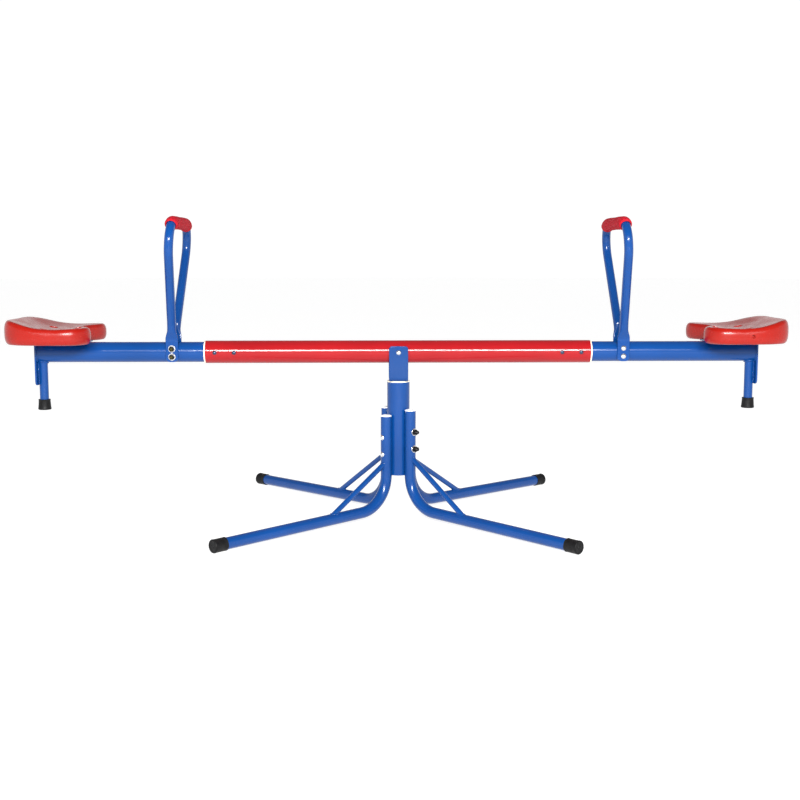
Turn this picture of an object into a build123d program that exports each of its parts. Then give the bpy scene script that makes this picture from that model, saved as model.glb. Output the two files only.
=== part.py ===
from build123d import *

import os
from math import radians, tan

# Swivelling seesaw for two children. Millimetres, +Z up, floor at Z = 0.
# The origin is on the floor below the post, and the beam runs along X.
# "front" is the -Y side, "left" is the -X side. The two ends of the beam are the same
# parts, turned half a turn about the post.

# ---- beam -------------------------------------------------------------------------
BEAM_Z = 418.0  # height of the teeter pivot and of the beam's centreline
CENTRE_OD = 57.0
CENTRE_WALL = 1.5
CENTRE_HALF = 482.5
ARM_OD = 50.8
ARM_WALL = 1.5
ARM_START = 386.0  # the arm slides this deep into the centre tube
ARM_END = 901.0
JOINT_BOLT_X = (410.0, 458.0)
SLEEVE_START = 392.0
SLEEVE_LIP = 3.0
M6 = 6.0
M6_HOLE = 6.5
M8 = 8.0
M8_HOLE = 8.5
M8_WASHER = (18.0, 1.6)  # diameter and thickness
M8_NUT = (13.0, 6.8)  # across flats and height

# ---- beam ends ----------------------------------------------------------------------
END_PLATE = (4.0, 50.0)  # thickness, width
END_PLATE_DROP = 82.0  # lower edge below the beam's centreline
END_PLATE_CORNER = 12.0
FOOT_OD = 22.0
FOOT_WALL = 1.5
FOOT_X = ARM_END - FOOT_OD / 2 - 0.05
FOOT_DROP = 144.5  # underside of the rubber foot below the beam's centreline
FOOT_CAP_HEIGHT = 27.0
FOOT_CAP_FLOOR = 5.5
FOOT_CAP_TOP_OD = 30.0
FOOT_CAP_BOTTOM_OD = 32.5

# ---- seats ----------------------------------------------------------------------------
SEAT_PLATE = (110.0, 116.0, 4.0)
SEAT_PLATE_SINK = 1.5  # the plate is coped this far over the arm
SEAT_INNER_X = 750.0  # tips of the two thigh lobes
SEAT_LENGTH = 210.0
SEAT_HALF_WIDTH = 140.0
SEAT_NOTCH = 34.0
SEAT_FRONT_HEIGHT = 41.0
SEAT_MID_HEIGHT = 38.0
SEAT_BACK_HEIGHT = 60.0
SEAT_WALL = 3.5
SEAT_EDGE_RADIUS = 9.0
SEAT_BOLT_X = (790.0, 872.0)
SEAT_BOLT_Y = 45.0
SEAT_POCKET_D = 16.0
SEAT_POCKET_FLOOR = 22.0

# ---- handles --------------------------------------------------------------------------
HANDLE_X = 563.5
HANDLE_OD = 22.0
HANDLE_WALL = 1.5
HANDLE_FLAT = (31.0, 4.0)  # width and thickness of the flattened ends
HANDLE_FLAT_BOTTOM = -23.0  # ends of the flattened part, from the beam's centreline
HANDLE_FLAT_TOP = 34.0
HANDLE_LEAN = 4.0  # degrees towards the middle of the seesaw
HANDLE_ROUND_FROM = 38.5  # heights above the flattened part, along the lean
HANDLE_SHOULDER = 218.0
HANDLE_TOP = 286.0
HANDLE_HALF_WIDTH = 138.0
HANDLE_FOOT_Y = 40.5
SHOULDER_RADIUS = 60.0
CORNER_RADIUS = 48.0
GRIP_OD = 32.0
GRIP_START_ANGLE = 57.0  # where the grip ends on each corner bend
HANDLE_BOLT_OFFSET = 10.0
HANDLE_HEAD = (12.5, 3.6)  # diameter and height of the bolt heads

# ---- swivel ---------------------------------------------------------------------------
POST_OD = 57.0
POST_WALL = 2.0
POST_BOTTOM = 106.0
POST_TOP = 342.0
BUSH_FLANGE = 3.0
BUSH_LENGTH = 22.0
LOWER_BUSH_BOTTOM = 246.0
RUNNING_GAP = 0.3
SPINDLE_D = 25.0
SPINDLE_CLEARANCE = 0.05
BRACKET_WIDTH = 48.0
BRACKET_THICKNESS = 4.0
BRACKET_GAP = 61.0
BRACKET_BASE = POST_TOP + BUSH_FLANGE + RUNNING_GAP
BRACKET_TOP = BEAM_Z + 16.0
BRACKET_BEND = 6.0
BRACKET_CHAMFER = 5.0
PIVOT_D = 8.0
PIVOT_HEAD = (12.0, 4.4)
PIVOT_SLEEVE_OD = 14.0

# ---- base -----------------------------------------------------------------------------
LEG_OD = 28.0
LEG_WALL = 1.5
LEG_R = POST_OD / 2 + LEG_OD / 2 + 0.1  # centreline of the upright part from the post's axis
LEG_REACH = 578.0  # outer face of the end cap from the post's axis
LEG_SLOPE = 1.0  # degrees
LEG_BEND = 85.0
LEG_AXIS_END_Z = 15.6
LEG_CAP_OD = 32.0
LEG_CAP_LENGTH = 36.0
LEG_CAP_FLOOR = 5.0
BRACE_OD = 13.0
BRACE_BELOW_TOP = 115.5
BRACE_FOOT_R = 238.0
BOLT_PITCH = 43.0
BOLT_BELOW_TOP = 52.5
# The bolts of one pair of legs cross above those of the other pair inside the post.
LEG_TOP_LOW = 257.5
LEG_TOP_HIGH = 271.5
# The base stands turned by this much from a square place under the beam.
BASE_TURN = -2.0  # degrees
LEGS = {
    "front_left": (225.0 + BASE_TURN, LEG_TOP_LOW),
    "rear_right": (45.0 + BASE_TURN, LEG_TOP_LOW),
    "rear_left": (135.0 + BASE_TURN, LEG_TOP_HIGH),
    "front_right": (315.0 + BASE_TURN, LEG_TOP_HIGH),
}
HEAD_SIDE_LEGS = (LEGS["front_left"], LEGS["rear_left"])  # the bolt heads are on the left legs

LOW = (Align.CENTER, Align.CENTER, Align.MIN)


def rod(start, end, diameter):
    """Solid cylinder between two points."""
    run = Vector(*end) - Vector(*start)
    return Plane(origin=start, z_dir=run) * Cylinder(diameter / 2, run.length, align=LOW)


def pipe(start, end, outer, inner):
    """Tube between two points."""
    return rod(start, end, outer) - rod(start, end, inner)


def nut(start, direction, across_flats, height, bore):
    """Hexagonal nut standing on start."""
    blank = extrude(RegularPolygon(across_flats / 2, 6, major_radius=False), height)
    dome = chamfer(blank.faces().sort_by(Axis.Z)[-1].outer_wire().edges(), 0.6)
    return Plane(origin=start, z_dir=direction) * (dome - Cylinder(bore / 2, height, align=LOW))


def washer(start, direction, outer, inner, thickness):
    """Flat washer standing on start."""
    disc = Cylinder(outer / 2, thickness, align=LOW) - Cylinder(inner / 2, thickness, align=LOW)
    return Plane(origin=start, z_dir=direction) * disc


def m8_washer(start, direction):
    """M8 washer standing on start."""
    return washer(start, direction, M8_WASHER[0], M8_HOLE, M8_WASHER[1])


def m8_nut(start, direction):
    """M8 nut on the far side of a washer that stands on start."""
    above = Vector(*start) + Vector(*direction) * M8_WASHER[1]
    return nut(tuple(above), direction, M8_NUT[0], M8_NUT[1], M8)


def dome_bolt(start, direction, diameter, length, head_d, head_h):
    """Bolt whose shank starts at start and runs along direction, with a domed head behind it."""
    head = Cylinder(head_d / 2, head_h, align=LOW)
    head = fillet(head.edges().sort_by(Axis.Z)[-1], head_h * 0.8)
    shank = Pos(0, 0, -length) * Cylinder(diameter / 2, length, align=LOW)
    return Plane(origin=start, z_dir=Vector(*direction) * -1) * (head + shank)


def save(name, *shapes):
    """Write one node: a single solid or a group of separate ones."""
    solids = [solid for shape in shapes for solid in shape.solids()]
    body = solids[0] if len(solids) == 1 else Compound(children=solids)
    export_step(body, f"parts/{name}.step")


def both_ends(name, shape):
    """Write a part of the right-hand arm and the same part on the left-hand arm."""
    save(f"{name}_right", shape)
    save(f"{name}_left", Rot(0, 0, 180) * shape)


# ---- base -----------------------------------------------------------------------------


def leg_height(radius):
    """Height of the centreline of a leg's foot at a distance from the post's axis."""
    return LEG_AXIS_END_Z + (LEG_REACH - radius) * tan(radians(LEG_SLOPE))


def leg_axis(top_z, reach):
    """Centreline of a leg in the XZ plane, from its top to the given radius."""
    points = [(LEG_R, 0, top_z), (LEG_R, 0, leg_height(LEG_R)), (reach, 0, leg_height(reach))]
    return FilletPolyline(points, radius=LEG_BEND)


def bent_bar(path, diameter):
    """Round bar along a path."""
    section = Plane(origin=path @ 0, z_dir=path % 0) * Circle(diameter / 2)
    return sweep(section, path=path)


def leg(top_z):
    """One bent leg tube, with the two bolt holes through its upright part."""
    path = leg_axis(top_z, LEG_REACH - LEG_CAP_FLOOR)
    tube = bent_bar(path, LEG_OD) - bent_bar(path, LEG_OD - 2 * LEG_WALL)
    for z in bolt_heights(top_z):
        tube -= rod((LEG_R - LEG_OD, 0, z), (LEG_R + LEG_OD, 0, z), M8_HOLE)
    return tube


def bolt_heights(top_z):
    """Heights of the two bolts of a leg."""
    return [top_z - BOLT_BELOW_TOP, top_z - BOLT_BELOW_TOP - BOLT_PITCH]


def leg_brace(top_z):
    """Round brace welded between the upright and the foot of a leg."""
    start = (LEG_R, 0, top_z - BRACE_BELOW_TOP)
    bar = rod(start, (BRACE_FOOT_R, 0, leg_height(BRACE_FOOT_R)), BRACE_OD)
    bar -= bent_bar(leg_axis(top_z, LEG_REACH), LEG_OD)
    return bar.solids().sort_by(SortBy.VOLUME)[-1]


def leg_cap():
    """Rubber cap on the end of a leg, worn flat where it stands on the floor."""
    axis = Plane(origin=(LEG_REACH, 0, LEG_AXIS_END_Z), z_dir=(-1, 0, tan(radians(LEG_SLOPE))))
    blank = Cylinder(LEG_CAP_OD / 2, LEG_CAP_LENGTH, align=LOW)
    blank = fillet(blank.edges().sort_by(Axis.Z)[0], 3)
    blank -= Pos(0, 0, LEG_CAP_FLOOR) * Cylinder(LEG_OD / 2 + 0.05, LEG_CAP_LENGTH, align=LOW)
    below_floor = Pos(LEG_REACH, 0, 0) * Box(200, 100, 50, align=(Align.CENTER, Align.CENTER, Align.MAX))
    return axis * blank - below_floor


def leg_plug(top_z):
    """Domed plastic plug in the top of a leg."""
    dome = Cylinder(LEG_OD / 2, 4.5, align=LOW)
    dome = fillet(dome.edges().sort_by(Axis.Z)[-1], 3.4)
    shank = Pos(0, 0, -14) * Cylinder(LEG_OD / 2 - LEG_WALL - 0.05, 14, align=LOW)
    return Pos(LEG_R, 0, top_z) * (dome + shank)


def leg_fasteners():
    """Bolts, washers and nuts that clamp each opposite pair of legs to the post."""
    bolts = []
    washers = []
    nuts = []
    face = LEG_R + LEG_OD / 2
    for angle, top_z in HEAD_SIDE_LEGS:
        for z in bolt_heights(top_z):
            turn = Rot(0, 0, angle)
            bolt = dome_bolt((face, 0, z), (-1, 0, 0), M8, 2 * face + 15, 13.5, 4.6)
            bolts.append(turn * bolt)
            washers.append(turn * m8_washer((-face, 0, z), (-1, 0, 0)))
            nuts.append(turn * m8_nut((-face, 0, z), (-1, 0, 0)))
    return bolts, washers, nuts


def post_tube():
    """Upright post with the bolt holes of both pairs of legs."""
    post = pipe((0, 0, POST_BOTTOM), (0, 0, POST_TOP), POST_OD, POST_OD - 2 * POST_WALL)
    for angle, top_z in HEAD_SIDE_LEGS:
        for z in bolt_heights(top_z):
            post -= Rot(0, 0, angle) * rod((-POST_OD, 0, z), (POST_OD, 0, z), M8_HOLE)
    return post


def bush(bottom_z):
    """Plain nylon bush that fits inside the post."""
    outer = POST_OD - 2 * POST_WALL - 0.05
    return pipe((0, 0, bottom_z), (0, 0, bottom_z + BUSH_LENGTH), outer, SPINDLE_D + 2 * SPINDLE_CLEARANCE)


def upper_bush():
    """Top-hat nylon bush whose flange covers the top of the post."""
    bore = SPINDLE_D + 2 * SPINDLE_CLEARANCE
    flange = pipe((0, 0, POST_TOP), (0, 0, POST_TOP + BUSH_FLANGE), POST_OD, bore)
    return bush(POST_TOP - BUSH_LENGTH) + flange


def base():
    """Write every node of the standing base."""
    save("post_tube", post_tube())
    save("bush_upper", upper_bush())
    save("bush_lower", bush(LOWER_BUSH_BOTTOM))
    for place, (angle, top_z) in LEGS.items():
        turn = Rot(0, 0, angle)
        save(f"leg_{place}", turn * leg(top_z))
        save(f"leg_brace_{place}", turn * leg_brace(top_z))
        save(f"leg_cap_{place}", turn * leg_cap())
        save(f"leg_plug_{place}", turn * leg_plug(top_z))
    bolts, washers, nuts = leg_fasteners()
    save("leg_bolts", *bolts)
    save("leg_washers", *washers)
    save("leg_nuts", *nuts)


# ---- swivel ---------------------------------------------------------------------------


def swivel_bracket():
    """U-shaped bracket that carries the teeter bolt."""
    half = BRACKET_GAP / 2
    outer_half = half + BRACKET_THICKNESS
    tall = BRACKET_TOP - BRACKET_BASE
    blank = Box(BRACKET_WIDTH, 2 * outer_half, tall, align=LOW)
    blank = fillet(blank.edges().filter_by(Axis.X).group_by(Axis.Z)[0], BRACKET_BEND + BRACKET_THICKNESS)
    blank = chamfer(blank.edges().filter_by(Axis.Y).group_by(Axis.Z)[-1], BRACKET_CHAMFER)
    inside = Pos(0, 0, BRACKET_THICKNESS) * Box(2 * BRACKET_WIDTH, 2 * half, 2 * tall, align=LOW)
    inside = fillet(inside.edges().filter_by(Axis.X).group_by(Axis.Z)[0], BRACKET_BEND)
    bracket = Pos(0, 0, BRACKET_BASE) * (blank - inside)
    bracket -= rod((0, -outer_half, BEAM_Z), (0, outer_half, BEAM_Z), M8_HOLE)
    return bracket - rod((0, 0, POST_TOP), (0, 0, BEAM_Z), SPINDLE_D + 0.1)


def swivel():
    """Write every node that swivels on the post without tipping with the beam."""
    spindle_end = LOWER_BUSH_BOTTOM - 2 * RUNNING_GAP
    face = BRACKET_GAP / 2 + BRACKET_THICKNESS
    spindle = rod((0, 0, spindle_end), (0, 0, BRACKET_BASE + BRACKET_THICKNESS), SPINDLE_D)
    spindle -= rod((0, 0, spindle_end), (0, 0, spindle_end + 28), 10.1)
    bolt = dome_bolt((0, 0, spindle_end - 3), (0, 0, 1), 10, 26, 17, 6)
    save("swivel_bracket", swivel_bracket())
    save("spindle", spindle)
    save("spindle_washer", washer((0, 0, spindle_end), (0, 0, -1), 38, 10.5, 3))
    save("spindle_bolt", bolt)
    save("pivot_bolt", dome_bolt((0, -face, BEAM_Z), (0, 1, 0), PIVOT_D, 2 * face + 12, *PIVOT_HEAD))
    save("pivot_washer", m8_washer((0, face, BEAM_Z), (0, 1, 0)))
    save("pivot_nut", m8_nut((0, face, BEAM_Z), (0, 1, 0)))


# ---- beam -----------------------------------------------------------------------------


def across_beam(x, z, diameter):
    """Cutter or bar straight through the beam, from front to back."""
    return rod((x, -CENTRE_OD, z), (x, CENTRE_OD, z), diameter)


def arm_solid(diameter, start=ARM_START, end=ARM_END):
    """Solid round bar on the beam's centreline."""
    return rod((start, 0, BEAM_Z), (end, 0, BEAM_Z), diameter)


def centre_tube():
    """Middle tube of the beam, with the pivot hole and the joint bolt holes."""
    tube = pipe((-CENTRE_HALF, 0, BEAM_Z), (CENTRE_HALF, 0, BEAM_Z), CENTRE_OD, CENTRE_OD - 2 * CENTRE_WALL)
    tube -= across_beam(0, BEAM_Z, PIVOT_SLEEVE_OD + 0.1)
    for x in JOINT_BOLT_X:
        tube -= across_beam(x, BEAM_Z, M6_HOLE)
        tube -= across_beam(-x, BEAM_Z, M6_HOLE)
    return tube


def pivot_sleeve():
    """Steel sleeve through the centre tube, which turns on the teeter bolt."""
    half = BRACKET_GAP / 2 - RUNNING_GAP
    return pipe((0, -half, BEAM_Z), (0, half, BEAM_Z), PIVOT_SLEEVE_OD, PIVOT_D + 0.1)


def joint_sleeve():
    """Plastic sleeve between the centre tube and an arm, with a lip outside the joint."""
    inner = ARM_OD + 0.1
    body = pipe((SLEEVE_START, 0, BEAM_Z), (CENTRE_HALF, 0, BEAM_Z), CENTRE_OD - 2 * CENTRE_WALL - 0.1, inner)
    lip = pipe((CENTRE_HALF, 0, BEAM_Z), (CENTRE_HALF + SLEEVE_LIP, 0, BEAM_Z), CENTRE_OD, inner)
    sleeve = body + lip
    for x in JOINT_BOLT_X:
        sleeve -= across_beam(x, BEAM_Z, M6_HOLE)
    return sleeve


def arm_tube():
    """Outer tube of the beam."""
    tube = arm_solid(ARM_OD) - arm_solid(ARM_OD - 2 * ARM_WALL)
    for x in JOINT_BOLT_X:
        tube -= across_beam(x, BEAM_Z, M6_HOLE)
    for z in handle_bolt_heights():
        tube -= across_beam(HANDLE_X, z, M8_HOLE)
    return tube


def joint_fasteners():
    """Bolts and nuts that hold both arms in the centre tube."""
    bolts = []
    nuts = []
    surface = CENTRE_OD / 2
    wall = rod((-CENTRE_HALF, 0, BEAM_Z), (CENTRE_HALF, 0, BEAM_Z), CENTRE_OD)
    for x in [side * x for side in (-1, 1) for x in JOINT_BOLT_X]:
        head = dome_bolt((x, -surface + 0.6, BEAM_Z), (0, 1, 0), M6, M6, 10.5, 3.6) - wall
        shank = rod((x, -surface - 1, BEAM_Z), (x, surface + 6.6, BEAM_Z), M6)
        bolts.append(head + shank)
        nuts.append(nut((x, surface - 0.5, BEAM_Z), (0, 1, 0), 10, 6, M6) - wall)
    return bolts, nuts


def end_plate():
    """Flat plate welded across the end of an arm, which carries the foot tube."""
    thickness, width = END_PLATE
    top = seat_plate_bottom()
    height = top - BEAM_Z + END_PLATE_DROP
    plate = Box(thickness, width, height, align=(Align.MIN, Align.CENTER, Align.MAX))
    plate = fillet(plate.edges().filter_by(Axis.X).group_by(Axis.Z)[0], END_PLATE_CORNER)
    return Pos(ARM_END, 0, top) * plate


def foot_tube():
    """Short stop tube below the end of an arm."""
    bottom = BEAM_Z - FOOT_DROP + FOOT_CAP_FLOOR
    tube = pipe((FOOT_X, 0, bottom), (FOOT_X, 0, BEAM_Z - ARM_OD / 4), FOOT_OD, FOOT_OD - 2 * FOOT_WALL)
    return tube - arm_solid(ARM_OD)


def foot_cap():
    """Rubber cap of a stop tube."""
    bottom = BEAM_Z - FOOT_DROP
    blank = Cone(FOOT_CAP_BOTTOM_OD / 2, FOOT_CAP_TOP_OD / 2, FOOT_CAP_HEIGHT, align=LOW)
    blank = fillet(blank.edges().sort_by(Axis.Z)[0], 2)
    bore = Pos(0, 0, FOOT_CAP_FLOOR) * Cylinder(FOOT_OD / 2 + 0.05, FOOT_CAP_HEIGHT, align=LOW)
    return Pos(FOOT_X, 0, bottom) * (blank - bore)


def seat_plate_bottom():
    """Height of the underside of the seat plate."""
    return BEAM_Z + ARM_OD / 2 - SEAT_PLATE_SINK


def seat_bottom():
    """Height of the rim under the seat, which hides the top edge of the plate."""
    return BEAM_Z + ARM_OD / 2 + 0.2


def seat_bolt_points(z):
    """Places of the four bolts of a seat at one height."""
    return [(x, y, z) for x in SEAT_BOLT_X for y in (-SEAT_BOLT_Y, SEAT_BOLT_Y)]


def seat_plate():
    """Steel plate on top of an arm that the seat is bolted to."""
    length, width, thickness = SEAT_PLATE
    bottom = seat_plate_bottom()
    plate = Box(length, width, thickness, align=LOW)
    plate = fillet(plate.edges().filter_by(Axis.Z), 10)
    plate = Pos(sum(SEAT_BOLT_X) / 2, 0, bottom) * plate - arm_solid(ARM_OD + 0.1, end=2 * ARM_END)
    for x, y, z in seat_bolt_points(bottom):
        plate -= rod((x, y, z - 1), (x, y, z + thickness + 1), M6_HOLE)
    return plate


def seat_plan(inset):
    """Plan of the seat from above: two thigh lobes with a notch, and a rounded back."""
    front = SEAT_INNER_X + inset
    back = SEAT_INNER_X + SEAT_LENGTH - inset
    wide = SEAT_HALF_WIDTH - inset
    half = [
        (front, 0.62 * wide),
        (front + 26, 0.93 * wide),
        (front + 80, wide),
        (back - 50, 0.95 * wide),
        (back - 12, 0.76 * wide),
    ]
    mirrored = [(x, -y) for x, y in reversed(half)]
    return make_face(Spline([(front + SEAT_NOTCH, 0)] + half + [(back, 0)] + mirrored, periodic=True))


def seat_profile(inset):
    """Side view of the seat: level in front, swept up to a raised back."""
    low = seat_bottom() + (inset and inset + 3)
    mid = seat_bottom() + SEAT_MID_HEIGHT - inset
    front = seat_bottom() + SEAT_FRONT_HEIGHT - inset
    high = seat_bottom() + SEAT_BACK_HEIGHT - inset
    inner = SEAT_INNER_X - 10
    outer = SEAT_INNER_X + SEAT_LENGTH + 10
    top = Spline(
        [(inner, 0, front), (SEAT_INNER_X + 75, 0, mid), (outer - 50, 0, high - 8), (outer, 0, high)],
        tangents=[(1, 0, -0.02), (1, 0, 0.12)],
    )
    sides = Polyline([(outer, 0, high), (outer, 0, low), (inner, 0, low), (inner, 0, front)])
    return make_face([top, sides])


def seat_block(inset):
    """Seat volume, or its cavity when the walls are taken off."""
    tall = extrude(Pos(0, 0, seat_bottom() - 20) * seat_plan(inset), 2 * SEAT_BACK_HEIGHT)
    return tall & extrude(seat_profile(inset), SEAT_HALF_WIDTH * 2, both=True)


def seat():
    """Hollow moulded seat with a recess for its plate and pockets for its nuts."""
    length, width, thickness = SEAT_PLATE
    low = seat_bottom()
    block = seat_block(0)
    block = fillet(block.edges().group_by(Axis.Z)[-1] + top_edges(block), SEAT_EDGE_RADIUS)
    cavity = seat_block(SEAT_WALL)
    for x, y, z in seat_bolt_points(low):
        cavity -= rod((x, y, z - 1), (x, y, z + SEAT_BACK_HEIGHT), SEAT_POCKET_D + 2 * SEAT_WALL)
    block -= cavity
    recess = Box(length + 4, width + 4, seat_plate_bottom() + thickness - low + 0.1, align=LOW)
    block -= Pos(sum(SEAT_BOLT_X) / 2, 0, low) * recess
    for x, y, z in seat_bolt_points(low):
        block -= rod((x, y, z - 1), (x, y, z + SEAT_BACK_HEIGHT), M6_HOLE)
        block -= rod((x, y, z + SEAT_POCKET_FLOOR), (x, y, z + SEAT_BACK_HEIGHT), SEAT_POCKET_D)
    return block


def top_edges(block):
    """Edges of the seat's upper rim."""
    return block.edges().filter_by(lambda edge: edge.center().Z > seat_bottom() + SEAT_MID_HEIGHT / 2)


def seat_fasteners():
    """Bolts, washers and nuts of one seat."""
    low = seat_plate_bottom()
    pocket = seat_bottom() + SEAT_POCKET_FLOOR
    bolts = [dome_bolt(p, (0, 0, 1), M6, pocket - low + 9, 12, 3.4) for p in seat_bolt_points(low)]
    washers = [washer(p, (0, 0, 1), 12, M6_HOLE, 1.5) for p in seat_bolt_points(pocket)]
    nuts = [nut(p, (0, 0, 1), 10, 6, M6) for p in seat_bolt_points(pocket + 1.5)]
    return bolts, washers, nuts


# ---- handles --------------------------------------------------------------------------


def lean(shape):
    """Place a shape drawn in the handle's own plane, which leans towards the post."""
    return Pos(HANDLE_X, 0, BEAM_Z + HANDLE_FLAT_TOP) * Rot(0, -HANDLE_LEAN, 0) * shape


def handle_axis():
    """Centreline of the round part of a handle, in its own YZ plane."""
    half = [
        (0, HANDLE_FOOT_Y, HANDLE_ROUND_FROM),
        (0, HANDLE_HALF_WIDTH, HANDLE_SHOULDER),
        (0, HANDLE_HALF_WIDTH, HANDLE_TOP),
    ]
    points = half + [(x, -y, z) for x, y, z in reversed(half)]
    bends = [SHOULDER_RADIUS, CORNER_RADIUS, CORNER_RADIUS, SHOULDER_RADIUS]
    return FilletPolyline(points, radius=bends)


def handle_bolt_heights():
    """Heights of the two bolts of a handle."""
    return [BEAM_Z - HANDLE_BOLT_OFFSET, BEAM_Z + HANDLE_BOLT_OFFSET]


def handle_end(path):
    """Flattened end of a handle, with the part where it turns round."""
    width, thickness = HANDLE_FLAT
    middle = ARM_OD / 2 + 0.1 + thickness / 2
    flat_height = HANDLE_FLAT_TOP - HANDLE_FLAT_BOTTOM
    flat = Box(width, thickness, flat_height, align=LOW)
    flat = fillet(flat.edges().filter_by(Axis.Y).group_by(Axis.Z)[0], 9)
    flat = Pos(HANDLE_X, middle, BEAM_Z + HANDLE_FLAT_BOTTOM) * flat
    for z in handle_bolt_heights():
        flat -= rod((HANDLE_X, 0, z), (HANDLE_X, 2 * middle, z), M8_HOLE)
    start = Plane(origin=(HANDLE_X, middle, BEAM_Z + HANDLE_FLAT_TOP), x_dir=(1, 0, 0), z_dir=(0, 0, 1))
    end = Plane(origin=path @ 0, x_dir=(1, 0, 0), z_dir=path % 0)
    neck = loft([start * Ellipse(width / 2, thickness / 2), lean(end * Circle(HANDLE_OD / 2))])
    return flat + neck


def handle():
    """Bent handle tube whose two flattened ends clasp the arm."""
    path = handle_axis()
    tube = lean(bent_bar(path, HANDLE_OD))
    bore = lean(bent_bar(path, HANDLE_OD - 2 * HANDLE_WALL))
    end = handle_end(path)
    return tube + end + mirror(end, about=Plane.XZ) - bore


def crossbar(diameter):
    """Bar along the handle's crossbar and part of the way round its two corners."""
    reach = HANDLE_HALF_WIDTH - CORNER_RADIUS
    hub = Axis((0, reach, HANDLE_TOP - CORNER_RADIUS), (-1, 0, 0))
    section = Plane(origin=(0, reach, HANDLE_TOP), z_dir=(0, 1, 0)) * Circle(diameter / 2)
    corner = revolve(section, hub, 90 - GRIP_START_ANGLE)
    straight = rod((0, reach, HANDLE_TOP), (0, -reach, HANDLE_TOP), diameter)
    return straight + corner + mirror(corner, about=Plane.XZ)


def grip():
    """Foam grip over the crossbar and its two corners."""
    foam = crossbar(GRIP_OD)
    foam = fillet(foam.edges().filter_by(GeomType.CIRCLE).sort_by(Axis.Z)[:2], 4)
    return lean(foam - crossbar(HANDLE_OD + 0.1))


def handle_fasteners():
    """Bolts, washers and nuts of one handle."""
    face = ARM_OD / 2 + 0.1 + HANDLE_FLAT[1]
    bolts = []
    washers = []
    nuts = []
    for z in handle_bolt_heights():
        bolts.append(dome_bolt((HANDLE_X, -face, z), (0, 1, 0), M8, 2 * face + 10.5, *HANDLE_HEAD))
        washers.append(m8_washer((HANDLE_X, face, z), (0, 1, 0)))
        nuts.append(m8_nut((HANDLE_X, face, z), (0, 1, 0)))
    return bolts, washers, nuts


def two_ends(shapes):
    """Fasteners of one arm together with those of the other arm."""
    return shapes + [Rot(0, 0, 180) * shape for shape in shapes]


def beam():
    """Write every node that tips with the beam."""
    save("centre_tube", centre_tube())
    save("pivot_sleeve", pivot_sleeve())
    both_ends("joint_sleeve", joint_sleeve())
    both_ends("arm_tube", arm_tube())
    both_ends("end_plate", end_plate())
    both_ends("foot_tube", foot_tube())
    both_ends("foot_cap", foot_cap())
    both_ends("seat_plate", seat_plate())
    both_ends("seat", seat())
    both_ends("handle", handle())
    both_ends("grip", grip())
    joint_bolts, joint_nuts = joint_fasteners()
    save("joint_bolts", *joint_bolts)
    save("joint_nuts", *joint_nuts)
    for name, fasteners in (("seat", seat_fasteners()), ("handle", handle_fasteners())):
        for kind, shapes in zip(("bolts", "washers", "nuts"), fasteners):
            save(f"{name}_{kind}", *two_ends(shapes))


os.makedirs("parts", exist_ok=True)
base()
swivel()
beam()
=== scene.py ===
from math import atan2, ceil, cos, degrees, pi, radians, sin, sqrt, tan

import bpy
from mathutils import Matrix, Vector


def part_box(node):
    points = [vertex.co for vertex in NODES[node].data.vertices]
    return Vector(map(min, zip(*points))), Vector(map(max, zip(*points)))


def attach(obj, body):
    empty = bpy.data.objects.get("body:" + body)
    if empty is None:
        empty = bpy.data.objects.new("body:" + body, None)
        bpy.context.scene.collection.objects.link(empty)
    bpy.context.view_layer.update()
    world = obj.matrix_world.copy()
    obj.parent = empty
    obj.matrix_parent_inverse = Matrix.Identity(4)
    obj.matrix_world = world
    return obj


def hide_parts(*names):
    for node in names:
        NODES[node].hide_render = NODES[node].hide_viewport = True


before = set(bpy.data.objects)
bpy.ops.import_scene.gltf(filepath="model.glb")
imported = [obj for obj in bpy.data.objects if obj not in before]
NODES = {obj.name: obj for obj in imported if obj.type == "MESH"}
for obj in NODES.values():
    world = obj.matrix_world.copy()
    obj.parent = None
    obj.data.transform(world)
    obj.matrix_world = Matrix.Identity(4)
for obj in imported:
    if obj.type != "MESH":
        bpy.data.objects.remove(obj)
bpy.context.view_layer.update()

# Swivelling seesaw. Lengths below are in millimetres in the row frame and turned into metres
# when a mesh is made. The left half of the beam is the right half turned about the post.
MM = 0.001
SIDES = {"right": 0.0, "left": 180.0}
LEG_PLACES = ("front_left", "rear_right", "rear_left", "front_right")
HEAD_SIDE_LEGS = ("front_left", "rear_left")


def low(node):
    """Lowest corner of a CAD node, in millimetres."""
    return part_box(node)[0] / MM


def high(node):
    """Highest corner of a CAD node, in millimetres."""
    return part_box(node)[1] / MM


def leg_angle(place):
    """Direction of a leg from the post, in degrees, from where its plug stands."""
    middle = low(f"leg_plug_{place}") + high(f"leg_plug_{place}")
    return degrees(atan2(middle.y, middle.x))


# Main places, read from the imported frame.
BEAM_Z = (low("centre_tube").z + high("centre_tube").z) / 2
ARM_R = (high("arm_tube_right").y - low("arm_tube_right").y) / 2
ARM_END = high("arm_tube_right").x
POST_R = high("post_tube").x
BRACKET_BASE = low("swivel_bracket").z
BRACKET_TOP = high("swivel_bracket").z
BRACKET_HALF_WIDTH = high("swivel_bracket").x
BRACKET_FACE = high("swivel_bracket").y
FOOT_X = (low("foot_tube_right").x + high("foot_tube_right").x) / 2
FOOT_R = high("foot_tube_right").y
SEAT_BOTTOM = low("seat_right").z

# Legs: centreline of the upright, reach of the foot, its height there and its slope.
LEG_TUBE_R = 14.0
LEG_R = POST_R + LEG_TUBE_R + 0.1
LEG_REACH = 578.0
LEG_END_Z = 15.6
LEG_SLOPE = radians(1.0)
LEG_BOLT_DROPS = (52.5, 95.5)  # below the top of the leg
BRACE_DROP = 115.5  # below the top of the leg
BRACE_FOOT = 238.0  # from the post's axis
BRACE_R = 6.5

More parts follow.
